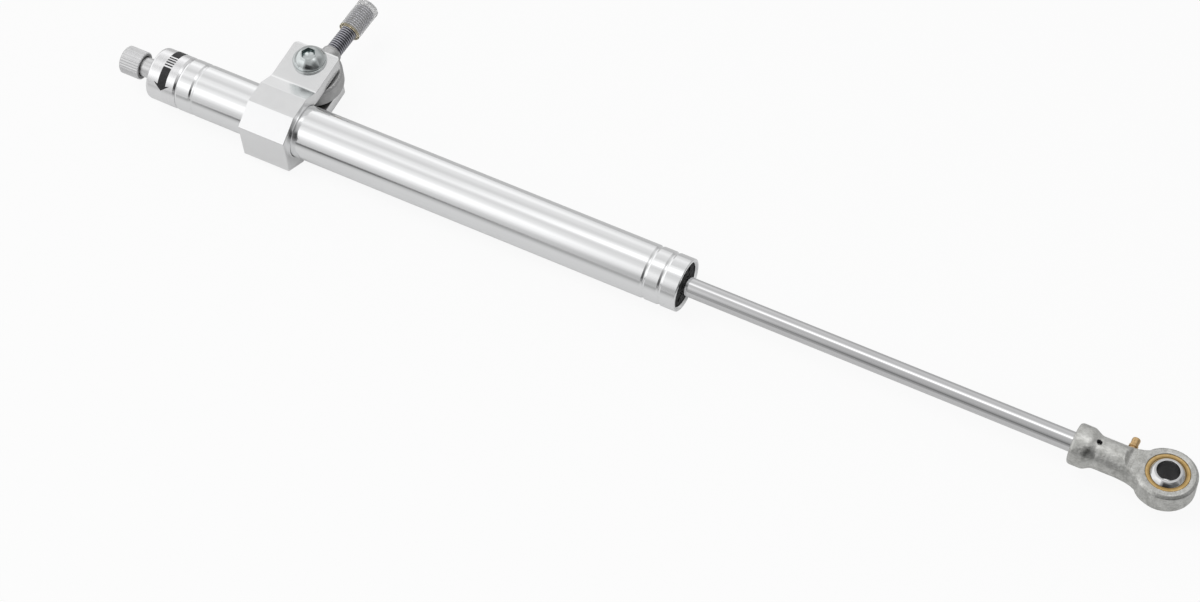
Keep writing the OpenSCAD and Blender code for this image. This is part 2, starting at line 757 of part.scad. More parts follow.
module clamp_bracket() {
    color("gainsboro") on_clamp() difference() {
        translate([pivot_x - clamp_half_w, 0, 0]) rotate([90, 0, 90]) linear_extrude(height = clamp_w)
            difference() {
                polygon(concat(half_outline(1), backwards(half_outline(-1))));
                translate([0, -ear_in]) square([ear_end + over, slot_h]);
            }
        turned([
            [0, pivot_x - clamp_half_w - over], [clamp_bore_r + bore_chamfer + over, pivot_x - clamp_half_w - over],
            [clamp_bore_r, pivot_x - clamp_half_w + bore_chamfer], [clamp_bore_r, pivot_x + clamp_half_w - bore_chamfer],
            [clamp_bore_r + bore_chamfer + over, pivot_x + clamp_half_w + over], [0, pivot_x + clamp_half_w + over]
        ]);
        translate([pivot_x, pivot_reach, 0]) {
            cylinder(h = ear_out + over, r = screw_r + 0.25, $fn = round_fn);
            translate([0, 0, -ear_out - over]) cylinder(h = ear_out, r = screw_r + seat_gap, $fn = round_fn);
        }
    }
}

module pivot_screw() {
    head_flat_r = socket_af / 2 + 0.9;
    dome = [for (i = [0:6]) let (t = i / 6) [
        button_d / 2 - (button_d / 2 - head_flat_r) * (1 - cos(90 * t)),
        washer_z + 0.8 + (button_h - 0.8) * sin(90 * t)
    ]];
    color("silver") on_pivot() difference() {
        rotate_extrude($fn = round_fn) polygon(concat(
            [[0, washer_z - screw_l], [screw_r - 0.6, washer_z - screw_l], [screw_r, washer_z - screw_l + 0.6]],
            [[screw_r, washer_z], [button_d / 2 - 0.3, washer_z]],
            dome,
            [[0, washer_z + button_h]]
        ));
        translate([0, 0, washer_z + button_h - 2.9]) rotate([0, 0, 30])
            cylinder(h = 3 + over, d = socket_af / cos(30), $fn = 6);
    }
}

module pivot_washer() {
    color("lightgray") on_pivot() difference() {
        translate([0, 0, ear_out]) cylinder(h = washer_t, d = washer_d, $fn = round_fn);
        translate([0, 0, ear_out - over]) cylinder(h = washer_t + 2 * over, r = screw_r + 0.2, $fn = round_fn);
    }
}

module pivot_ball() {
    color("silver") on_pivot() difference() {
        intersection() {
            sphere(r = eye_ball_r, $fn = round_fn);
            cube([2 * eye_ball_r, 2 * eye_ball_r, pivot_ball_h], center = true);
        }
        cylinder(h = slot_h + over, r = screw_r + run_gap, center = true, $fn = round_fn);
    }
}

// Eye and stud. Their frame has X along the stud.
module on_stud() {
    on_pivot() rotate([0, 0, 90 - stud_swing]) children();
}

module eye_race_form(grow) {
    half = eye_t / 2 - 0.4;
    face_r = eye_ball_r + 0.5;
    rotate_extrude($fn = round_fn) polygon([
        [0, -half], [face_r + grow, -half], [eye_bulge_r + grow, -half / 2.4],
        [eye_bulge_r + grow, half / 2.4], [face_r + grow, half], [0, half]
    ]);
}

module pivot_eye() {
    root_x = eye_r - 4;
    color("darkgray") on_stud() difference() {
        union() {
            chamfered_disc(eye_r, eye_t, eye_chamfer);
            turned([
                [0, root_x], [eye_t / 2, root_x], [boss_d / 2 + 0.2, eye_r + 1], [boss_d / 2, boss_reach - 0.8],
                [boss_d / 2 - 0.4, boss_reach], [0, boss_reach]
            ]);
        }
        eye_race_form(seat_gap);
        cylinder(h = eye_t + over, r = eye_ball_r + 0.5 + seat_gap, center = true, $fn = round_fn);
        bar(stud_seat - 0.5, boss_reach + over, stud_r + seat_gap);
    }
}

module eye_race() {
    color("goldenrod") on_stud() difference() {
        eye_race_form(0);
        sphere(r = eye_sphere_r, $fn = round_fn);
    }
}

module threaded_stud() {
    color("slategray") on_stud() turned([
        [0, stud_seat], [stud_r - 0.6, stud_seat], [stud_r, stud_seat + 0.6],
        [stud_r, stud_reach - 0.8], [stud_r - 0.8, stud_reach], [0, stud_reach]
    ]);
}

module thread_cap() {
    outer = thread_cap_d / 2;
    round_r = 0.9;
    color([0.85, 0.86, 0.84, 0.5]) on_stud() turned(concat(
        [[cap_bore_r, thread_cap_x0], [outer - 0.3, thread_cap_x0], [outer, thread_cap_x0 + 0.3]],
        [for (p = arc([outer - round_r, thread_cap_x1 - round_r], round_r, 0, 90, 4)) p],
        [[0, thread_cap_x1], [0, thread_cap_x1 - thread_cap_end], [cap_bore_r, thread_cap_x1 - thread_cap_end]]
    ));
}

outer_tube();
end_cap();
cap_o_ring();
inner_cylinder();
valve_block();
valve_o_ring();
check_ball();
check_spring();
compensator_foam();
rod_guide();
guide_bush();
rod_seal();
guide_o_ring();
gland_nut();
wiper_seal();
top_out_bumper();
detent_ball();
detent_spring();
adjuster_needle();
needle_o_ring();
adjuster_knob();
knob_grub_screw();
piston_ring();
piston_rod();
piston();
piston_shims();
piston_nut();
rod_end_housing();
rod_end_race();
grease_nipple();
rod_end_ball();
clamp_bracket();
pivot_screw();
pivot_washer();
pivot_ball();
pivot_eye();
eye_race();
threaded_stud();
thread_cap();
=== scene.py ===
# Looks of the steering damper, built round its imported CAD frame.
# Lengths in the helpers and profiles are millimetres in the CAD's frame; meshes are written in metres.
import json
import math

import bmesh
import bpy
from mathutils import Matrix, Vector, noise


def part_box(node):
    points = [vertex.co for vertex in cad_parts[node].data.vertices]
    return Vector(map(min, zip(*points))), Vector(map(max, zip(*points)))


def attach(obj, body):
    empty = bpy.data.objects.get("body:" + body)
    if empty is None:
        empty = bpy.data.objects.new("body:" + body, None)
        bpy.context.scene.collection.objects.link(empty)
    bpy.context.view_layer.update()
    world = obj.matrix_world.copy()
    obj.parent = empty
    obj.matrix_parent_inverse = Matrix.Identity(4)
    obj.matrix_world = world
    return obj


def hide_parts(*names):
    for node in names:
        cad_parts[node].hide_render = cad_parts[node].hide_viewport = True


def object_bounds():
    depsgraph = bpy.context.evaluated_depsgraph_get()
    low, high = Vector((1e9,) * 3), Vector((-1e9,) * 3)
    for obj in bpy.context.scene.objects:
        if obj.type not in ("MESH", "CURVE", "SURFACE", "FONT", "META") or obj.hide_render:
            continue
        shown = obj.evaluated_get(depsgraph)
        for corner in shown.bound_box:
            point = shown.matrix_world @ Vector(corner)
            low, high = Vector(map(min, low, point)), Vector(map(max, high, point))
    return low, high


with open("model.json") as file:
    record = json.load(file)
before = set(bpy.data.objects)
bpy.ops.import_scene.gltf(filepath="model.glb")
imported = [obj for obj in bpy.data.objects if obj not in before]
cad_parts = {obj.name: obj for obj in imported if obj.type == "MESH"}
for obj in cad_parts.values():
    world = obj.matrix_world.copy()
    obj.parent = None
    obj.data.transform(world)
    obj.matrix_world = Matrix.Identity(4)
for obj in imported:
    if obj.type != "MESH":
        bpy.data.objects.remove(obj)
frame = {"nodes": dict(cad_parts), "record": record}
cad_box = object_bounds()
nodes = frame["nodes"]
scene = bpy.context.scene
MM = 0.001
SHARP = math.radians(38)
AT_ORIGIN = Matrix.Identity(4)


# Mesh helpers

def fillet(points, steps=3):
    """Rounds the corners of an open outline. A point is (x, y, radius of its corner)."""
    out = []
    for i, (x, y, radius) in enumerate(points):
        if radius <= 0 or i in (0, len(points) - 1):
            out.append((x, y))
            continue
        here = Vector((x, y))
        back, on = Vector(points[i - 1][:2]) - here, Vector(points[i + 1][:2]) - here
        room = 0.46 * min(back.length, on.length)
        back, on = back / back.length, on / on.length
        turn = math.pi - back.angle(on)
        trim = min(radius * math.tan(turn / 2), room)
        start, end = here + back * trim, here + on * trim
        for step in range(steps + 1):
            t = step / steps
            q = start * (1 - t) ** 2 + here * 2 * t * (1 - t) + end * t ** 2
            out.append((q.x, q.y))
    return out


def arc(cx, cy, r, a0, a1, steps):
    """Points of (x, y, 0) round a centre, from the angle a0 to a1 in degrees."""
    angles = [math.radians(a0 + (a1 - a0) * step / steps) for step in range(steps + 1)]
    return [(cx + r * math.cos(a), cy + r * math.sin(a), 0) for a in angles]


def skin(rings, closed):
    """Vertices and faces that join rings of equal length; a ring of one point is a pole.

    closed joins the last ring to the first.
    """
    verts, faces, starts = [], [], []
    for ring in rings:
        starts.append((len(verts), len(ring)))
        verts.extend(ring)
    for (a, points_a), (b, points_b) in zip(starts, starts[1:] + (starts[:1] if closed else [])):
        if points_a == points_b == 1:
            continue
        count = max(points_a, points_b)
        for k in range(count):
            after = (k + 1) % count
            if points_a == 1:
                faces.append((a, b + after, b + k))
            elif points_b == 1:
                faces.append((a + k, a + after, b))
            else:
                faces.append((a + k, a + after, b + after, b + k))
    return verts, faces


def lathe(profile, segs):
    """Turns a profile of (x, r) about X. r may be a function of the angle, for a hexagon or a knurl.

    A profile that starts on the axis stays open, and any other is closed.
    """
    rings = []
    for x, r in profile:
        if r == 0:
            rings.append([(x, 0.0, 0.0)])
            continue
        ring = []
        for k in range(segs):
            t = 2 * math.pi * k / segs
            reach = r(t) if callable(r) else r
            ring.append((x, reach * math.cos(t), reach * math.sin(t)))
        rings.append(ring)
    return skin(rings, len(rings[0]) > 1)


def hexagon(across, blunt):
    """The radius of a hexagon by the angle, with its corners taken back a little."""
    def radius(t):
        off_flat = (t + math.pi / 6) % (math.pi / 3) - math.pi / 6
        return min(across / 2 / math.cos(off_flat), across / 2 / math.cos(math.pi / 6) - blunt)
    return radius


def ramp(value, a, b):
    """Smoothly from 0 at a to 1 at b."""
    t = min(max((value - a) / (b - a), 0.0), 1.0)
    return t * t * (3 - 2 * t)


# Objects

def solid(name, shape, place):
    """A mesh object from vertices in millimetres and faces, which are turned outwards."""
    verts, faces = shape
    mesh = bpy.data.meshes.new(name)
    mesh.from_pydata([Vector(v) * MM for v in verts], [], faces)
    bm = bmesh.new()
    bm.from_mesh(mesh)
    bmesh.ops.recalc_face_normals(bm, faces=bm.faces)
    bm.to_mesh(mesh)
    bm.free()
    obj = bpy.data.objects.new(name, mesh)
    scene.collection.objects.link(obj)
    where = place.copy()
    where.translation = where.translation * MM
    obj.matrix_world = where
    return obj


def apply_modifiers(obj):
    bpy.context.view_layer.update()
    shown = obj.evaluated_get(bpy.context.evaluated_depsgraph_get())
    obj.data = bpy.data.meshes.new_from_object(shown)
    obj.modifiers.clear()


def dress(obj, body, slot, stands_for=(), finish=None, sharp=SHARP):
    """Shades an object, gives it a finish, its slot's own unless another is named, and lets it ride."""
    obj.data.shade_smooth()
    obj.data.set_sharp_from_angle(angle=sharp)
    level = obj.modifiers.new("level", "WEIGHTED_NORMAL")
    level.keep_sharp = True
    apply_modifiers(obj)
    obj.data.materials.clear()
    obj.data.materials.append(finish or looks[slot])
    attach(obj, body)
    if stands_for:
        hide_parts(*stands_for)
    return obj


def piece(name, shape, body, slot, stands_for=(), place=AT_ORIGIN, finish=None, sharp=SHARP):
    """A shape in millimetres becomes a piece that rides on a body."""
    return dress(solid(name, shape, place), body, slot, stands_for, finish, sharp)


def paint(obj, finish, picks):
    """Gives a second finish to the faces whose centre, in millimetres, it picks."""
    obj.data.materials.append(finish)
    for face in obj.data.polygons:
        if picks(*(c / MM for c in face.center)):
            face.material_index = 1


def cut(obj, shape, place):
    """Cuts a shape out of a piece."""
    cutter = solid("cutter", shape, place)
    drill = obj.modifiers.new("drill", "BOOLEAN")
    drill.operation = "DIFFERENCE"
    drill.solver = "EXACT"
    drill.object = cutter
    apply_modifiers(obj)
    bpy.data.objects.remove(cutter)


# Materials: the helpers. Lengths in a material are metres, as its coordinates are.

# Grain of a noise along X, Y and Z, where a small number draws it out into streaks
EVEN, ALONG, AROUND = (1, 1, 1), (0.02, 1, 1), (1, 0.03, 0.03)
# Where most of a noise's values lie, for its colours and for its roughness
TONES, WAVES = (0.35, 0.65), (0.3, 0.7)


class Net:
    """Short spelling for building a node tree. A value is a number, a vector or another node's socket."""

    def __init__(self, tree):
        self.tree = tree

    def feed(self, socket, value):
        if isinstance(value, bpy.types.NodeSocket):
            self.tree.links.new(value, socket)
        else:
            socket.default_value = value

    def add(self, kind, *values, **settings):
        """A new node: values fill its inputs in order, and settings are its own properties."""
        node = self.tree.nodes.new(kind)
        for name, setting in settings.items():
            setattr(node, name, setting)
        for socket, value in zip(node.inputs, values):
            self.feed(socket, value)
        return node

    def math(self, operation, *values):
        return self.add("ShaderNodeMath", *values, operation=operation).outputs[0]

    def total(self, *parts):
        """The sum of values, each times its weight."""
        result = 0.0
        for value, weight in parts:
            result = self.math("MULTIPLY_ADD", value, weight, result)
        return result

    def coords(self, kind="Object"):
        return self.add("ShaderNodeTexCoord").outputs[kind]

    def axes(self, kind="Object"):
        """X, Y and Z of the point that is shaded."""
        return self.add("ShaderNodeSeparateXYZ", self.coords(kind)).outputs

    def radius(self, a, b):
        """The distance from an axis, by the two coordinates across it."""
        return self.math("SQRT", self.total((a, a), (b, b)))

    def noise(self, scale, detail, rough, grain=EVEN):
        mapping = self.add("ShaderNodeMapping", self.coords())
        mapping.inputs["Scale"].default_value = grain
        node = self.add("ShaderNodeTexNoise", mapping.outputs[0])
        for name, value in (("Scale", scale), ("Detail", detail), ("Roughness", rough)):
            node.inputs[name].default_value = value
        return node.outputs["Fac"]

    def remap(self, value, a, b, first=0.0, last=1.0):
        """first up to a, last beyond b, and in proportion between them."""
        return self.add("ShaderNodeMapRange", value, a, b, first, last).outputs[0]

    def blend(self, factor, one, two):
        """From colour one at 0 to colour two at 1."""
        node = self.add("ShaderNodeMix", factor, data_type="RGBA")
        colours = [socket for socket in node.inputs if socket.type == "RGBA"]
        for socket, value in zip(colours, (one, two)):
            self.feed(socket, (*value, 1.0) if isinstance(value, tuple) else value)
        return [socket for socket in node.outputs if socket.type == "RGBA"][0]

    def bump(self, shader, height, strength, distance):
        node = self.add("ShaderNodeBump")
        node.inputs["Strength"].default_value = strength
        node.inputs["Distance"].default_value = distance
        self.feed(node.inputs["Height"], height)
        self.feed(shader.inputs["Normal"], node.outputs[0])


def new_material(name, metallic=0.0):
    """A material with its node tree and its shader."""
    mat = bpy.data.materials.new(name)
    mat.use_nodes = True
    shader = mat.node_tree.nodes["Principled BSDF"]
    shader.inputs["Metallic"].default_value = metallic
    return mat, Net(mat.node_tree), shader


def metal(name, light, dark, rough, spread, blotch, scale=900, grain=EVEN, bump=0.0):
    """Metal with a grain, and with slow blotches of light and dark."""
    mat, net, shader = new_material(name, 1.0)
    streak = net.noise(scale, 4.0, 0.6, grain)
    tone = net.total((streak, 0.6), (net.noise(blotch, 3.0, 0.5), 0.4))
    net.feed(shader.inputs["Base Color"], net.blend(net.remap(tone, *TONES), dark, light))
    net.feed(shader.inputs["Roughness"], net.remap(streak, *WAVES, rough - spread, rough + spread))
    if bump:
        net.bump(shader, streak, bump, 0.0002)
    return mat


def cast(name, light, dark, rough, bump, smudge=None):
    """Tumbled castings: fine pits, slow mottling, bright edges and a smudge at one place in millimetres."""
    mat, net, shader = new_material(name, 1.0)
    pits = net.noise(1300, 5.0, 0.7)
    mottle = net.noise(330, 5.0, 0.6)
    tone = net.total((mottle, 0.4), (net.noise(75, 3.0, 0.5), 0.25), (pits, 0.35))
    colour = net.blend(net.remap(tone, 0.36, 0.64), dark, light)
    if smudge:
        gap = net.add("ShaderNodeVectorMath", net.coords(), Vector(smudge) * MM, operation="DISTANCE")
        reach = net.total((gap.outputs["Value"], 1.0), (mottle, 0.005))
        colour = net.blend(net.remap(reach, 0.003, 0.0054, 0.85, 0.0), colour, (0.06, 0.06, 0.055))
    edge = net.add("ShaderNodeNewGeometry").outputs["Pointiness"]
    colour = net.blend(net.remap(edge, 0.53, 0.6, 0.0, 0.6), colour, (0.85, 0.85, 0.83))
    net.feed(shader.inputs["Base Color"], colour)
    net.feed(shader.inputs["Roughness"], net.remap(tone, *WAVES, rough + 0.1, rough - 0.08))
    net.bump(shader, net.total((pits, 0.5), (mottle, 1.0)), bump, 0.00025)
    return mat


def plain(name, light, dark, rough, scale=500, bump=0.1, shine=0.35):
    """Rubber, plastic or ink with fine variation."""
    mat, net, shader = new_material(name)
    shader.inputs["Specular IOR Level"].default_value = shine
    speckle = net.noise(scale, 4.0, 0.55)
    net.feed(shader.inputs["Base Color"], net.blend(net.remap(speckle, *TONES), dark, light))
    net.feed(shader.inputs["Roughness"], net.remap(speckle, *WAVES, rough - 0.06, rough + 0.06))
    net.bump(shader, speckle, bump, 0.0001)
    return mat


def thread_shade_and_highlight():
    """The stud's steel, with painted shade in the roots of its thread and a painted highlight on the crests.
    """
    mat, net, shader = new_material("stud_painted_shade", 1.0)
    _, y, z = net.axes()
    wobble = net.noise(500, 4.0, 0.6)
    # Painted highlight on the crests and painted shade in the roots, by the distance from the axis
    crest = net.remap(net.total((net.radius(y, z), 1.0), (wobble, 0.0002)), 0.0035, 0.004)
    net.feed(shader.inputs["Base Color"], net.blend(crest, (0.17, 0.17, 0.19), (0.52, 0.52, 0.56)))
    net.feed(shader.inputs["Roughness"], net.remap(wobble, *WAVES, 0.22, 0.3))
    return mat


def turned_race():
    """The rod end's brass race, with painted shade: darker towards the ball, and darkest at both rims."""
    mat, net, shader = new_material("turned_race", 1.0)
    x, y, _ = net.axes()
    r = net.radius(x, y)
    speckle = net.noise(500, 4.0, 0.6)
    colour = net.blend(net.remap(speckle, *TONES), (0.66, 0.44, 0.17), (0.8, 0.57, 0.27))
    # Painted shade towards the ball
    colour = net.blend(net.remap(r, 0.0083, 0.0088, 0.55, 0.0), colour, (0.36, 0.22, 0.07))
    # Painted shade at the inner and outer rims
    for lit_r, shaded_r in ((0.0081, 0.0076), (0.0092, 0.0096)):
        colour = net.blend(net.remap(r, lit_r, shaded_r, 0.0, 0.85), colour, (0.07, 0.05, 0.03))
    net.feed(shader.inputs["Base Color"], colour)
    net.feed(shader.inputs["Roughness"], net.remap(speckle, *WAVES, 0.18, 0.26))
    return mat


def clear_plastic(mouth):
    """Clear soft plastic, a little milky, that yellows towards its open mouth at X = mouth."""
    mat, net, shader = new_material("clear_plastic")
    cloud = net.noise(300, 3.0, 0.5)
    amber = net.remap(net.axes()["X"], mouth + 0.0002, mouth + 0.0007, 1.0, 0.0)
    clear = net.blend(cloud, (0.8, 0.8, 0.8), (0.86, 0.86, 0.855))
    net.feed(shader.inputs["Base Color"], net.blend(amber, clear, (0.97, 0.84, 0.55)))
    net.feed(shader.inputs["Roughness"], net.remap(cloud, *WAVES, 0.14, 0.17))
    shader.inputs["Transmission Weight"].default_value = 0.74
    shader.inputs["IOR"].default_value = 1.2
    return mat


# Materials: one for each slot of the record, with a light and a dark tone, roughness and its spread,
# scale of the blotches, and then what differs from metal()'s and plain()'s own values. The clear plastic
# is made with its piece.

smudge_at = (-34.6, -5.7, 5.5)
looks = {
    "polished_aluminium": metal(
        "polished_tube", (0.93, 0.935, 0.94), (0.9, 0.903, 0.91), 0.13, 0.03, 40, grain=ALONG),
    "turned_aluminium": metal(
        "turned_cap", (0.95, 0.95, 0.955), (0.89, 0.89, 0.9), 0.2, 0.03, 120, 1500, AROUND, 0.006),
    "clamp_aluminium": metal(
        "satin_clamp", (0.92, 0.922, 0.925), (0.9, 0.902, 0.906), 0.22, 0.02, 60, 300),
    "knob_aluminium": metal(
        "satin_knob", (0.76, 0.76, 0.765), (0.7, 0.7, 0.705), 0.3, 0.03, 200, 600),
    "rod_chrome": metal(
        "chromed_rod", (0.72, 0.72, 0.725), (0.68, 0.68, 0.688), 0.09, 0.02, 60, 1200, ALONG),
    "bearing_steel": metal(
        "polished_ball", (0.74, 0.74, 0.745), (0.68, 0.68, 0.685), 0.08, 0.02, 80, 500),
    "cast_steel": cast(
        "cast_zinc", (0.78, 0.78, 0.755), (0.4, 0.4, 0.38), 0.4, 0.6, smudge_at),
    "forged_steel": cast(
        "satin_casting", (0.6, 0.6, 0.6), (0.48, 0.48, 0.48), 0.45, 0.08),
    "brass": metal(
        "brass_race", (0.76, 0.52, 0.22), (0.64, 0.42, 0.15), 0.22, 0.04, 200, 500),
    "nipple_brass": metal(
        "dull_brass", (0.74, 0.52, 0.27), (0.52, 0.34, 0.16), 0.3, 0.06, 300, bump=0.04),
    "valve_brass": metal(
        "turned_brass", (0.78, 0.64, 0.36), (0.66, 0.53, 0.28), 0.28, 0.06, 60, 1200, AROUND, 0.04),
    "screw_steel": metal(
        "zinc_screw", (0.68, 0.71, 0.71), (0.58, 0.62, 0.62), 0.11, 0.03, 250),
    "washer_steel": metal(
        "zinc_washer", (0.64, 0.66, 0.66), (0.54, 0.56, 0.56), 0.16, 0.04, 250),
    "stud_steel": thread_shade_and_highlight(),
    "inner_steel": metal(
        "ground_steel", (0.66, 0.67, 0.69), (0.55, 0.56, 0.58), 0.25, 0.05, 60, grain=ALONG, bump=0.02),
    "black_anodised": plain(
        "black_nut", (0.014, 0.014, 0.015), (0.008, 0.008, 0.0085), 0.4, 700, shine=0.04),
    "black_rubber": plain(
        "black_rubber", (0.03, 0.03, 0.03), (0.018, 0.018, 0.018), 0.6),
    "foam_rubber": plain(
        "grey_foam", (0.16, 0.16, 0.17), (0.07, 0.07, 0.075), 0.85, 1400, 0.7),
    "seal_plastic": plain(
        "ring_plastic", (0.68, 0.56, 0.4), (0.56, 0.45, 0.3), 0.45, 700),
    "bumper_plastic": plain(
        "bumper_plastic", (0.74, 0.62, 0.3), (0.62, 0.5, 0.22), 0.5, 700),
}
# Finishes of single faces: painted shade in the holes, the slot and the socket, and black ink
# Painted shade inside holes
bore_shade_look = plain("painted_shade_bore", (0.05, 0.05, 0.052), (0.03, 0.03, 0.032), 0.4, 700, 0.05)
# Painted shade in the clamp's slot and the knob's recess: a darker, duller metal
slot_shade_look = metal("painted_shade_slot", (0.32, 0.32, 0.32), (0.24, 0.24, 0.24), 0.4, 0.05, 200)
# Painted shade on the socket's walls
socket_shade_look = metal("socket_wall", (0.22, 0.27, 0.27), (0.15, 0.19, 0.19), 0.2, 0.03, 250)
ink_look = plain("black_ink", (0.03, 0.03, 0.032), (0.015, 0.015, 0.016), 0.45, 900, 0.05)

# CAD solids that stay get the finish of their slot, and the race its own
for part in frame["record"]["subparts"]:
    if part["material_slot"] in looks:
        data = nodes[part["node"]].data
        data.materials.clear()
        data.materials.append(looks[part["material_slot"]])
nodes["rod_end_race"].data.materials[0] = turned_race()


# Sizes read from the frame

def low(node, axis=0):
    """A node's lowest point along X, or along another axis, in millimetres."""
    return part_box(node)[0][axis] / MM


def high(node, axis=0):
    """A node's highest point, likewise."""
    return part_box(node)[1][axis] / MM


seam, rim = low("outer_tube"), high("outer_tube")
tube_r = high("outer_tube", 1)
neck_x0, cap_x1 = low("end_cap"), high("end_cap")
knob_x0, knob_x1 = low("adjuster_knob"), high("adjuster_knob")
collar_x = low("rod_end_housing")
clamp_x0, clamp_x1 = low("clamp_bracket"), high("clamp_bracket")
pivot_x, clamp_half = (clamp_x0 + clamp_x1) / 2, (clamp_x1 - clamp_x0) / 2

# The pivot's distance from the barrel's axis, and how far, in degrees, the clamp rolls and the stud swings
PIVOT_REACH, CLAMP_ROLL, STUD_SWING = 28.3, 5.5, 4.0
on_clamp = Matrix.Rotation(math.radians(CLAMP_ROLL), 4, "X")
on_pivot = on_clamp @ Matrix.Translation((pivot_x, PIVOT_REACH, 0))
up_pivot = on_pivot @ Matrix.Rotation(math.radians(-90), 4, "Y")
on_stud = on_pivot @ Matrix.Rotation(math.radians(90 - STUD_SWING), 4, "Z")

# Barrel, whose seam with the end cap lies in a groove

WALL, RIM_ROUND, MOUTH_BEVEL = 2.0, 0.35, 0.8
GROOVE_W, GROOVE_D, GROOVE_EDGE = 2.2, 0.5, 0.12
GROOVE_FIRST, GROOVE_PITCH = 8.4, 7.9
HALF_SEAM = 0.05
bore_r, groove_r = tube_r - WALL, tube_r - GROOVE_D


def groove(x):
    """A groove with sloping sides and a flat floor, a quarter of its width."""
    half, flat = GROOVE_W / 2, GROOVE_W / 8
    corners = [(x - half, tube_r), (x - flat, groove_r), (x + flat, groove_r), (x + half, tube_r)]
    return [(*corner, GROOVE_EDGE) for corner in corners]


profile = [(seam + HALF_SEAM, bore_r, 0), (seam + HALF_SEAM, groove_r, 0)]
profile += [(seam + GROOVE_W / 2, tube_r, GROOVE_EDGE)] + groove(seam + GROOVE_FIRST)
profile += groove(rim - GROOVE_FIRST - GROOVE_PITCH) + groove(rim - GROOVE_FIRST)
profile += [(rim - RIM_ROUND, tube_r, 0.3), (rim, tube_r - RIM_ROUND, 0.1)]
profile += [(rim, bore_r + MOUTH_BEVEL, 0.1), (rim - MOUTH_BEVEL, bore_r, 0)]
piece("tube_skin", lathe(fillet(profile), 256), "barrel", "polished_aluminium", ["outer_tube"])

# End cap, with the neck that the knob turns on and the spigot in the tube

CAP_SHOWN, CAP_ROUND, CAP_DRAFT, SPIGOT_GAP = 15.8, 1.7, 0.1, 0.04
NECK_R, NECK_BEVEL, DRILL_R = 4.7, 0.4, 3.05
cap_x0, spigot_r = seam - CAP_SHOWN, bore_r - SPIGOT_GAP
profile = [(neck_x0, DRILL_R, 0), (neck_x0, NECK_R - NECK_BEVEL, 0.1), (neck_x0 + NECK_BEVEL, NECK_R, 0.1)]
profile += [(cap_x0, NECK_R, 0.3), (cap_x0, tube_r - CAP_DRAFT, CAP_ROUND)]
profile += [(seam - GROOVE_W / 2, tube_r, GROOVE_EDGE), (seam - HALF_SEAM, groove_r, 0)]
profile += [(seam - HALF_SEAM, spigot_r, 0), (cap_x1, spigot_r, 0), (cap_x1, DRILL_R, 0)]
cap = piece("cap_skin", lathe(fillet(profile, 6), 256), "barrel", "turned_aluminium", ["end_cap"])
# The neck and the cap's end face have the knob's darker satin, painted shade next to the knob
paint(cap, looks["knob_aluminium"], lambda x, y, z: x < cap_x0 - 0.2)

# Marks on the end cap: an arrow, bars and a block, in millimetres along it and degrees round it

MARK_FROM_SEAM, MARK_HALF, WING = 7.2, 2.05, 4.1
BARS, BAR_FROM, BAR_PITCH, BAR_W = 4, 74.5, 6.6, 3
BLOCK_FROM, BLOCK_TO = 101.5, 141
# How far the ink's faces stand from the cap, and the degrees between its cuts
INK_TOP, INK_FOOT, INK_STEP = 0.03, -0.05, 2


def patch(name, outline):
    """A shape of (x, angle from the front) printed on the cap, as a thin shell a little proud of it."""
    bm = bmesh.new()
    bm.faces.new([bm.verts.new((x, angle, 0)) for x, angle in outline])
    angles = [angle for _, angle in outline]
    for angle in range(math.ceil(min(angles) / INK_STEP) * INK_STEP, math.ceil(max(angles)), INK_STEP):
        whole = bm.verts[:] + bm.edges[:] + bm.faces[:]
        bmesh.ops.bisect_plane(bm, geom=whole, plane_co=(0, angle, 0), plane_no=(0, 1, 0))
    for element in bmesh.ops.extrude_face_region(bm, geom=bm.faces[:])["geom"]:
        if isinstance(element, bmesh.types.BMVert):
            element.co.z = 1
    # Vertices are numbered by their place, so that every run gives the same mesh
    verts, faces = [], []
    for v in sorted(bm.verts, key=lambda v: tuple(v.co)):
        v.index = len(verts)
        r, t = tube_r + (INK_TOP if v.co.z > 0.5 else INK_FOOT), math.radians(v.co.y)
        verts.append((v.co.x, -r * math.cos(t), r * math.sin(t)))
    for face in bm.faces:
        loop = [v.index for v in face.verts]
        first = loop.index(min(loop))
        faces.append(loop[first:] + loop[:first])
    bm.free()
    piece(name, (verts, sorted(faces)), "barrel", "black_anodised", finish=ink_look)


def band(name, start, end):
    patch(name, [(mark_x0, start), (mark_x1, start), (mark_x1, end), (mark_x0, end)])


mark_x = seam - MARK_FROM_SEAM
mark_x0, mark_x1 = mark_x - MARK_HALF, mark_x + MARK_HALF
patch("mark_arrow", [(mark_x, 17), (mark_x + WING, 33), (mark_x1, 30), (mark_x1, 71),
                     (mark_x0, 71), (mark_x0, 30), (mark_x - WING, 33)])
for i in range(BARS):
    start = BAR_FROM + BAR_PITCH * i
    band(f"mark_bar_{i}", start, start + BAR_W)
band("mark_block", BLOCK_FROM, BLOCK_TO)

# Knob

KNURLS, KNURL_D, KNURL_START = 32, 0.22, 1.1
KNOB_R, KNOB_BORE, RECESS_R, RECESS_D = 6.7, 2.04, 5.0, 7.0
FACE_R, DULL_R = 4.6, 6.1


def knurl(share):
    """The radius of the knurl by the angle, cut to a share of its depth."""
    def radius(t):
        return KNOB_R - KNURL_D * share * (0.5 - 0.5 * math.cos(KNURLS * t))
    return radius


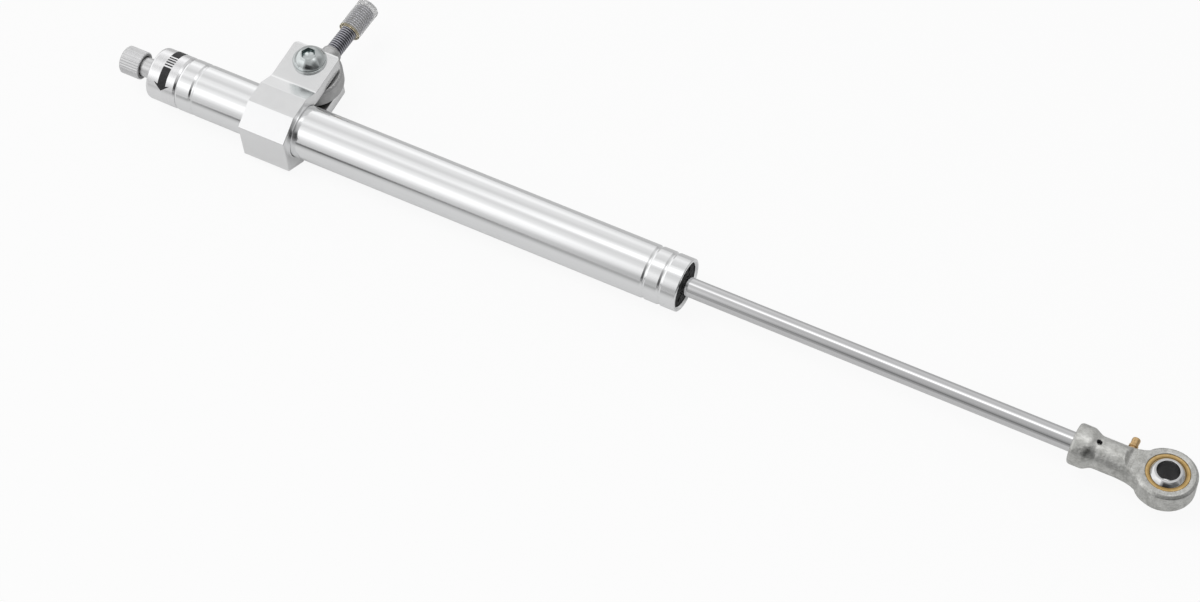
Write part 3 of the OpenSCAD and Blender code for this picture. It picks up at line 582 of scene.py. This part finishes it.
# The outer face and its rounded edge, the knurl, the inner face, the recess over the neck, and the bore,
# which ends where the knurl starts
knurl_x, recess_x = knob_x0 + KNURL_START, knob_x1 - RECESS_D
profile = [(knob_x0, 0), (knob_x0, FACE_R), (knob_x0 + 0.02, KNOB_R - 0.95)]
profile += [(knob_x0 + 0.25, KNOB_R - 0.62), (knob_x0 + 0.6, KNOB_R - 0.3)]
profile += [(knob_x0 + 0.85, knurl(0.6)), (knurl_x, knurl(1))]
profile += [(knob_x1 - 0.5, knurl(1)), (knob_x1 - 0.3, knurl(0.7)), (knob_x1 - 0.2, KNOB_R - 0.3)]
profile += [(knob_x1, KNOB_R - 0.5), (knob_x1, RECESS_R + 0.15), (knob_x1 - 0.05, RECESS_R + 0.05)]
profile += [(knob_x1 - 0.15, RECESS_R), (recess_x + 0.1, RECESS_R), (recess_x, RECESS_R - 0.1)]
profile += [(recess_x, KNOB_BORE), (knurl_x, KNOB_BORE), (knurl_x, 0)]
knob = piece("knob_skin", lathe(profile, KNURLS * 12), "knob", "knob_aluminium", ["adjuster_knob"],
             sharp=math.radians(60))
# The inner face gets painted shade: the slot's darker, duller metal
paint(knob, slot_shade_look, lambda x, y, z: x > knob_x1 - 0.3 and math.hypot(y, z) < DULL_R)

# Rod end and eye

VOXEL, WELD = 0.25, 0.002


def recast(node, name, body, slot, uneven, fuller, reshape=None):
    """A casting's soft edges and skin: the CAD solid is remeshed, eased and pushed about by noise."""
    obj = bpy.data.objects.new(name, nodes[node].data.copy())
    scene.collection.objects.link(obj)
    bm = bmesh.new()
    bm.from_mesh(obj.data)
    bmesh.ops.remove_doubles(bm, verts=bm.verts, dist=WELD * MM)
    bm.to_mesh(obj.data)
    bm.free()
    voxels = obj.modifiers.new("voxels", "REMESH")
    voxels.mode = "VOXEL"
    voxels.voxel_size = VOXEL * MM
    ease = obj.modifiers.new("ease", "SMOOTH")
    ease.factor = 0.5
    ease.iterations = 2
    apply_modifiers(obj)
    bm = bmesh.new()
    bm.from_mesh(obj.data)
    if reshape:
        for v in bm.verts:
            v.co = Vector(reshape(*(v.co / MM))) * MM
    bm.normal_update()
    for v in bm.verts:
        place = v.co / MM
        # A coarse and a fine wave
        wave = noise.noise(place * 0.9) * 0.6 + noise.noise(place * 2.3) * 0.4
        v.co += v.normal * ((wave * uneven + fuller) * MM)
    bm.to_mesh(obj.data)
    bm.free()
    return dress(obj, body, slot, [node], sharp=math.radians(80))


# How far the neck swells, and where the swell grows: from the shank, from the head, from the neck's middle
# and from the head's rim
NECK_SWELL = 0.6
FROM_SHANK, FROM_HEAD, FROM_MIDDLE, FROM_RIM = (-21, -12.5), (-3, -11.5), (3.5, 5.5), (10.3, 11.5)
# The part of the shank that is pressed, its crown, and where along X the shoulder falls and the edge rises
PRESSED_FROM, PRESSED_TO, PRESSED_Z = -26, -14.2, 4.6
CROWN_R, SHOULDER_DROP, EDGE_RISE = 7.2, 2.1, 0.45
SHOULDER_RUN, EDGE_RUN = (-19.4, -16.4), (-15.0, -14.5)


def press(x, y, z):
    """Swells the neck, and runs the shank's crown out in a soft shoulder, a valley and the head's edge."""
    swell = ramp(x, *FROM_SHANK) * ramp(x, *FROM_HEAD) * ramp(abs(y), *FROM_MIDDLE)
    swell *= ramp(math.hypot(x, y), *FROM_RIM)
    y += math.copysign(NECK_SWELL * swell, y)
    if PRESSED_FROM < x < PRESSED_TO and abs(z) > PRESSED_Z:
        crown = math.sqrt(max(CROWN_R ** 2 - y * y, 0.0))
        limit = CROWN_R - SHOULDER_DROP * ramp(x, *SHOULDER_RUN) + EDGE_RISE * ramp(x, *EDGE_RUN)
        z = math.copysign(min(max(abs(z), min(crown, limit)), limit), z)
    return x, y, z


witness_x, witness_r = collar_x + 10.6, 1.28
casting = recast("rod_end_housing", "rod_end_skin", "rod", "cast_steel", uneven=0.07, fuller=0.1,
                 reshape=press)
# The witness hole in the top of the shank is dark with painted shade
paint(casting, bore_shade_look, lambda x, y, z: z > 4.5 and math.hypot(x - witness_x, y) < witness_r)
recast("pivot_eye", "eye_skin", "eye", "forged_steel", uneven=0.02, fuller=0.02)

# Clamp, drawn across the barrel as (y, z) with its ears level

CLAMP_BORE, CLAMP_TOP, CLAMP_FRONT = 12.55, 17.2, 17.0
FRONT_BEVEL_Y, FRONT_BEVEL_Z = 11.2, 6.9
SLOT_W, EAR_T, EAR_PAST_PIVOT, EAR_R = 12.8, 6.3, 8.0, 3.0
# The ears run out in an arc and a slope, in degrees, up to the crest of the block
ROOT_Y, ROOT_R, ROOT_SLOPE, CREST_Y = 14.7, 4.0, 29.2, 5.6
# The rounding of the edges at its two ends, more along the bore, and the stretch over which it changes
EDGE_ROUND, BORE_ROUND, ROUND_CHANGE = 0.3, 0.8, 1.2
slot_z, ear_z, ear_end = SLOT_W / 2, SLOT_W / 2 + EAR_T, PIVOT_REACH + EAR_PAST_PIVOT


def clamp_outline():
    """The outline, counter-clockwise, as (y, z, corner radius), and how many points come before the bore."""
    meet = math.asin(slot_z / CLAMP_BORE)
    upper = [(CLAMP_BORE * math.cos(meet) + ROUND_CHANGE, slot_z, 0)]
    upper += [(ear_end, slot_z, 0.45), (ear_end, ear_z, 1.5)]
    upper += [(ROOT_Y, ear_z, 0)] + arc(ROOT_Y, ear_z + ROOT_R, ROOT_R, 270, 270 - ROOT_SLOPE, 8)[1:]
    upper += [(CREST_Y, CLAMP_TOP, 0.6), (FRONT_BEVEL_Y - CLAMP_FRONT, CLAMP_TOP, 0.45)]
    upper += [(-CLAMP_FRONT, CLAMP_TOP - FRONT_BEVEL_Z, 0.45)]
    lower = [(y, -z, corner) for y, z, corner in reversed(upper)]
    bore = arc(0, 0, CLAMP_BORE, 360 - math.degrees(meet), math.degrees(meet), 72)
    return upper + lower + bore, len(upper) + len(lower)


def prism(outline, bore_start, x0, x1, edge, bore_edge):
    """Extrudes an outline along X and rounds both ends: by edge, and by bore_edge from bore_start on."""
    points, rounds = [], []
    for i, corner in enumerate(outline):
        after = outline[(i + 1) % len(outline)]
        run = fillet([outline[i - 1], corner, after], 4)[1:-1] if corner[2] else [corner[:2]]
        points += [Vector(point) for point in run]
        rounds += [bore_edge if i >= bore_start else edge] * len(run)
    count = len(points)
    inward = []
    for i, here in enumerate(points):
        back, on = (here - points[i - 1]).normalized(), (points[(i + 1) % count] - here).normalized()
        middle = Vector((-back.y, back.x)) + Vector((-on.y, on.x))
        inward.append(middle / max(middle.length_squared / 2, 0.3))
    rings = []
    for x, way in ((x0, 1), (x1, -1)):
        for degrees in (90, 60, 30, 0)[::way]:
            inset, shift = 1 - math.cos(math.radians(degrees)), 1 - math.sin(math.radians(degrees))
            ring = []
            for point, step, size in zip(points, inward, rounds):
                q = point + step * (size * inset)
                ring.append((x + way * size * shift, q.x, q.y))
            rings.append(ring)
    verts, faces = skin(rings, False)
    return verts, faces + [tuple(range(count)), tuple(range(len(verts) - count, len(verts)))]


outline, bore_start = clamp_outline()
clamp = piece("clamp_skin", prism(outline, bore_start, clamp_x0, clamp_x1, EDGE_ROUND, BORE_ROUND),
              "clamp", "clamp_aluminium", ["clamp_bracket"], on_clamp, sharp=math.radians(24))

# The screw's hole, with a countersink under the lower ear, and the ears' round corners
HOLE_R, SINK_R, SINK_D, SPARE = 4.1, 5.4, 0.4, 1
profile = [(-ear_z - SPARE, 0), (-ear_z - SPARE, SINK_R), (-ear_z + SINK_D, HOLE_R)]
profile += [(ear_z + SPARE, HOLE_R), (ear_z + SPARE, 0)]
cut(clamp, lathe(profile, 64), up_pivot)
for side in (-1, 1):
    centre_x, centre_y = clamp_half - EAR_R, ear_end - EAR_R
    past_x, past_y = clamp_half + SPARE, ear_end + SPARE
    corner = [(x, y) for x, y, _ in arc(centre_x, centre_y, EAR_R, 0, 90, 9)]
    corner += [(centre_x, past_y), (past_x, past_y), (past_x, centre_y)]
    verts, faces = skin([[(pivot_x + side * x, y, z) for x, y in corner] for z in (-20, 20)], False)
    count = len(corner)
    cut(clamp, (verts, [tuple(range(count)), tuple(range(count, 2 * count))] + faces), on_clamp)
# The slot's faces get painted shade: a darker, duller metal
paint(clamp, slot_shade_look, lambda x, y, z: y > 9 and abs(abs(z) - slot_z) < 0.02)

# Washer and screw, turned about the pivot, so that X is upwards

WASHER_R, WASHER_BORE, WASHER_T = 8.0, 4.2, 1.0
washer_z = ear_z + WASHER_T
profile = [(ear_z, WASHER_BORE, 0), (ear_z, WASHER_R, 0.25)]
profile += [(washer_z, WASHER_R, 0.25), (washer_z, WASHER_BORE, 0)]
piece("washer_skin", lathe(fillet(profile), 96), "clamp", "washer_steel", ["pivot_washer"], up_pivot)

SHANK_R, SHANK_L, HEAD_H, RIM_R, DOME_R, DOME_DROP = 4.0, 25, 4.4, 7.3, 8.237, 3.057
foot, top, dome_z = washer_z - SHANK_L, washer_z + HEAD_H, washer_z - DOME_DROP
dome = [(dome_z + x, r) for x, r, _ in arc(0, 0, DOME_R, 65, 26, 13)]
socket_rim, socket_wall = hexagon(6.05, 0.04), hexagon(5.9, 0.04)
profile = [(foot, 0), (foot, SHANK_R - 0.6), (foot + 0.6, SHANK_R), (washer_z, SHANK_R), (washer_z, RIM_R)]
profile += [(washer_z + 0.15, RIM_R + 0.18)] + dome + [(top, 3.55), (top, socket_rim)]
profile += [(top - 0.15, socket_wall), (top - 2.3, socket_wall), (top - 2.42, 2.75), (top - 2.6, 0)]
screw = piece("screw_skin", lathe(profile, 96), "clamp", "screw_steel", ["pivot_screw"], up_pivot)
# The socket's walls are darker than the head: painted shade
paint(screw, socket_shade_look, lambda x, y, z: top - 2.4 < x < top - 0.1 and math.hypot(y, z) < 3.6)

# Stud

STUD_START, STUD_END, STUD_R = 11.5, 44.8, 4.0
THREAD_D, THREAD_PITCH, RUN_OUT = 0.77, 1.25, 0.9
ROOT_SHARE, FLANK_SHARE = 0.12, 0.72
THREAD_SEGS, RINGS_A_TURN = 40, 10


def thread():
    """A right-handed thread as one skin: the radius follows the helix, and runs out at both ends."""
    length, neck = STUD_END - STUD_START, STUD_R - THREAD_D * 1.15
    count = int(length / THREAD_PITCH * RINGS_A_TURN)
    rings = [[(STUD_START, 0.0, 0.0)]]
    for i in range(count + 1):
        x = STUD_START + length * i / count
        ring = []
        for k in range(THREAD_SEGS):
            t = 2 * math.pi * k / THREAD_SEGS
            phase = (x / THREAD_PITCH + t / (2 * math.pi)) % 1.0
            form = min(max((abs(2 * phase - 1) - ROOT_SHARE) / FLANK_SHARE, 0.0), 1.0)
            run_out = neck + min(STUD_END - x, x - STUD_START) * RUN_OUT
            r = min(STUD_R - THREAD_D * (1 - form), run_out)
            ring.append((x, r * math.cos(t), r * math.sin(t)))
        rings.append(ring)
    rings.append([(STUD_END, 0.0, 0.0)])
    return skin(rings, False)


piece("stud_skin", thread(), "eye", "stud_steel", ["threaded_stud"], on_stud, sharp=math.radians(50))

# Thread cap, which hugs the thread

CAP_L, CAP_PAST_STUD, CAP_ROOF = 16.8, 2.1, 2.3
CAP_R, CAP_MOUTH_R, CAP_INNER_R = 5.5, 4.0, 3.2
tip = STUD_END + CAP_PAST_STUD
mouth = tip - CAP_L
outside = [(mouth, CAP_MOUTH_R, 0), (mouth, CAP_R, 0.3), (tip, CAP_R, 1.0), (tip, 0, 0)]
inside = [(tip - CAP_ROOF, 0, 0), (tip - CAP_ROOF, CAP_INNER_R, 0.3), (mouth + 1.2, CAP_INNER_R, 0.4)]
profile = fillet(outside, 5) + fillet(inside + outside[:1], 4)[:-1]
piece("thread_cap_skin", lathe(profile, 96), "cap", "cap_plastic", ["thread_cap"], on_stud,
      clear_plastic(mouth * MM))

# Ball of the rod end, turned about the bolt's axis

BALL_R, BALL_HALF, BALL_BORE, BALL_BEVEL, BALL_STEPS = 9.2, 7.0, 5.0, 0.6, 40
flat_r = math.sqrt(BALL_R ** 2 - BALL_HALF ** 2)
lean = math.degrees(math.asin(BALL_HALF / BALL_R))
side = [(x, r, 0) for r, x, _ in arc(0, 0, BALL_R, -lean, lean, BALL_STEPS)[1:-1]]
under = [(-BALL_HALF + BALL_BEVEL, BALL_BORE, 0), (-BALL_HALF, BALL_BORE, BALL_BEVEL)]
under += [(-BALL_HALF, flat_r, 0.4)]
profile = under + side + [(-x, r, corner) for x, r, corner in reversed(under)]
up_ball = Matrix.Rotation(math.radians(-90), 4, "Y")
ball = piece("ball_skin", lathe(fillet(profile, 5), 128), "rod_ball", "bearing_steel",
             ["rod_end_ball"], up_ball)
# The bolt hole is dark with painted shade
paint(ball, bore_shade_look, lambda x, y, z: abs(x) < 5 and math.hypot(y, z) < BALL_BORE + 0.05)

# Camera

lens = bpy.data.cameras.new("camera")
lens.lens, lens.sensor_width = 90.0, 36.0
lens.clip_start, lens.clip_end = 0.01, 50.0
camera = bpy.data.objects.new("camera", lens)
camera.location = (0.1104, -0.7324, 1.0465)
camera.rotation_euler = (math.radians(37.25), 0.0, math.radians(27.26))
scene.collection.objects.link(camera)
scene.camera = camera

# Floor

FLOOR_HALF, FLOOR_GAP = 6.0, 0.0002


def glow(net, under, strength, factor):
    """Some of the floor's own shading, shadow included, gives way to a plain glow."""
    light = net.add("ShaderNodeEmission", (1, 1, 1, 1), strength)
    return net.add("ShaderNodeMixShader", factor, under, light.outputs[0]).outputs[0]


def reflected_dark(net):
    """How much painted darkness the floor shows to reflections: a painted reflection in front of the object
    and, fainter, a painted shadow behind it.
    """
    x, y, _ = net.axes()
    slant = net.math("SUBTRACT", y, x)
    near = net.math("MAXIMUM", net.remap(y, -0.05, -0.14), net.remap(slant, -0.055, -0.09))
    along = net.math("MULTIPLY", net.remap(x, -0.565, -0.51, 0.08, 1.0), net.remap(x, -0.45, -0.4, 1.0, 0.5))
    along = net.math("MAXIMUM", along, net.remap(x, -0.08, 0.0))
    far = net.remap(y, -0.5, -0.9, 1.0, 0.25)
    front = net.math("MULTIPLY", net.math("MULTIPLY", near, far), along)
    # Behind the object, fainter: a painted shadow that only reflections see
    return net.math("MAXIMUM", front, net.remap(y, 0.025, 0.06, 0.0, 0.24))


def white_floor():
    """White to the camera, with the object's shadow. Only reflections see the painted darkness."""
    mat, net, shader = new_material("white_floor")
    shader.inputs["Base Color"].default_value = (0.72, 0.72, 0.72, 1)
    shader.inputs["Roughness"].default_value = 0.9
    shader.inputs["Specular IOR Level"].default_value = 0.0
    path = net.add("ShaderNodeLightPath").outputs
    seen = net.math("MAXIMUM", path["Is Camera Ray"], path["Is Transmission Ray"])
    look = glow(net, shader.outputs[0], 1.0, net.math("MULTIPLY", seen, 0.91))
    look = glow(net, look, 0.64, net.math("MULTIPLY", path["Is Glossy Ray"], 0.3))
    dark = net.math("MULTIPLY", reflected_dark(net), 0.92)
    look = glow(net, look, 0.05, net.math("MULTIPLY", path["Is Glossy Ray"], dark))
    net.feed(net.tree.nodes["Material Output"].inputs["Surface"], look)
    return mat


floor_z = cad_box[0][2] - FLOOR_GAP
corners = [(x * FLOOR_HALF, y * FLOOR_HALF, floor_z) for x, y in ((-1, -1), (1, -1), (1, 1), (-1, 1))]
mesh = bpy.data.meshes.new("floor")
mesh.from_pydata(corners, [], [(0, 1, 2, 3)])
mesh.materials.append(white_floor())
floor = bpy.data.objects.new("floor", mesh)
scene.collection.objects.link(floor)

# Studio round the object: long soft boxes that run along it, as stops of (angle about X in degrees, level).
# 0 is level behind, 90 straight up, 180 level in front. Metal sees them, everything else an even light.
# LEFT is for light that comes from the knob's side, RIGHT for the rod's, and FLAG, with its dark front, for
# the rod end's; SIDE is what a face turned along the barrel towards the rod end sees.

FROM_ANGLE = -60
LEFT = [(-60, 0.64), (-30, 0.52), (-14, 0.34), (8, 0.84), (28, 1.06), (46, 0.84), (66, 0.7), (82, 0.88),
        (92, 0.94), (106, 0.74), (118, 0.88), (136, 1.22), (148, 1.12), (158, 0.88), (168, 0.7), (176, 0.64),
        (182, 0.52), (230, 0.6), (300, 0.6)]
RIGHT = [(-60, 0.62), (-30, 0.66), (-4, 0.42), (14, 0.66), (32, 0.76), (48, 0.7), (62, 0.7), (76, 1.1),
         (86, 1.75), (93, 1.75), (99, 0.9), (112, 0.6), (138, 0.58), (154, 0.46), (165, 0.23), (174, 0.3),
         (184, 0.5), (230, 0.6), (300, 0.6)]
FLAG = [(-60, 0.6), (-4, 0.42), (32, 0.7), (62, 0.66), (76, 1.0), (86, 1.5), (93, 1.5), (99, 0.85),
        (112, 0.6), (138, 0.45), (148, 0.07), (166, 0.03), (176, 0.2), (186, 0.5), (300, 0.6)]
SIDE = [(-60, 0.5), (10, 0.45), (28, 0.34), (60, 0.3), (80, 0.5), (96, 0.42), (116, 0.22), (136, 0.14),
        (172, 0.14), (186, 0.35), (300, 0.45)]


def strips(net, turn, stops):
    """The level of light at a part of a turn about X."""
    node = net.add("ShaderNodeValToRGB", turn)
    node.color_ramp.interpolation = "EASE"
    elements = node.color_ramp.elements
    elements.remove(elements[-1])
    for i, (degrees, level) in enumerate(stops):
        position = (degrees - FROM_ANGLE) / 360
        stop = elements[0] if i == 0 else elements.new(position)
        stop.position = position
        stop.color = (level, level, level, 1)
    return node.outputs[0]


def studio():
    """The world: the strips in reflections, an even grey as light, and white to the camera."""
    world = bpy.data.worlds.new("studio")
    world.use_nodes = True
    world.node_tree.nodes.clear()
    net = Net(world.node_tree)
    x, y, z = net.axes("Generated")
    angle = net.math("ADD", net.math("ARCTAN2", z, y), math.radians(-FROM_ANGLE))
    turn = net.math("FRACT", net.math("DIVIDE", angle, 2 * math.pi))
    strip = net.blend(net.remap(x, -0.32, -0.2), strips(net, turn, LEFT), strips(net, turn, RIGHT))
    strip = net.blend(net.remap(x, -0.14, 0.0), strip, strips(net, turn, FLAG))
    strip = net.blend(net.remap(x, 0.45, 0.75), strip, strips(net, turn, SIDE))
    strip = net.blend(net.remap(x, -0.7, -0.9), strip, (1.1, 1.1, 1.1))
    boxes = net.add("ShaderNodeBackground", strip)
    even = net.add("ShaderNodeBackground", (0.62, 0.62, 0.62, 1))
    white = net.add("ShaderNodeBackground", (1, 1, 1, 1))
    path = net.add("ShaderNodeLightPath").outputs
    lit = net.add("ShaderNodeMixShader", path["Is Glossy Ray"], even.outputs[0], boxes.outputs[0])
    seen = net.math("MAXIMUM", path["Is Camera Ray"], path["Is Transmission Ray"])
    whole = net.add("ShaderNodeMixShader", seen, lit.outputs[0], white.outputs[0])
    net.add("ShaderNodeOutputWorld", whole.outputs[0])
    return world


scene.world = studio()

# Lamps, which reflections don't show

MIDDLE = Vector((-0.25, 0, 0))


def lamp(name, where, size, watts):
    """A soft round lamp that looks at the middle of the object."""
    data = bpy.data.lights.new(name, "AREA")
    data.energy, data.size, data.shape = watts, size, "DISK"
    obj = bpy.data.objects.new(name, data)
    obj.location = where
    obj.rotation_euler = (MIDDLE - Vector(where)).to_track_quat("-Z", "Y").to_euler()
    obj.visible_glossy = False
    scene.collection.objects.link(obj)


lamp("key", (-0.7, -0.5, 1.5), 0.9, 8)
lamp("fill", (0.7, -0.9, 1.2), 1.2, 4)
scene.view_settings.view_transform = "Standard"
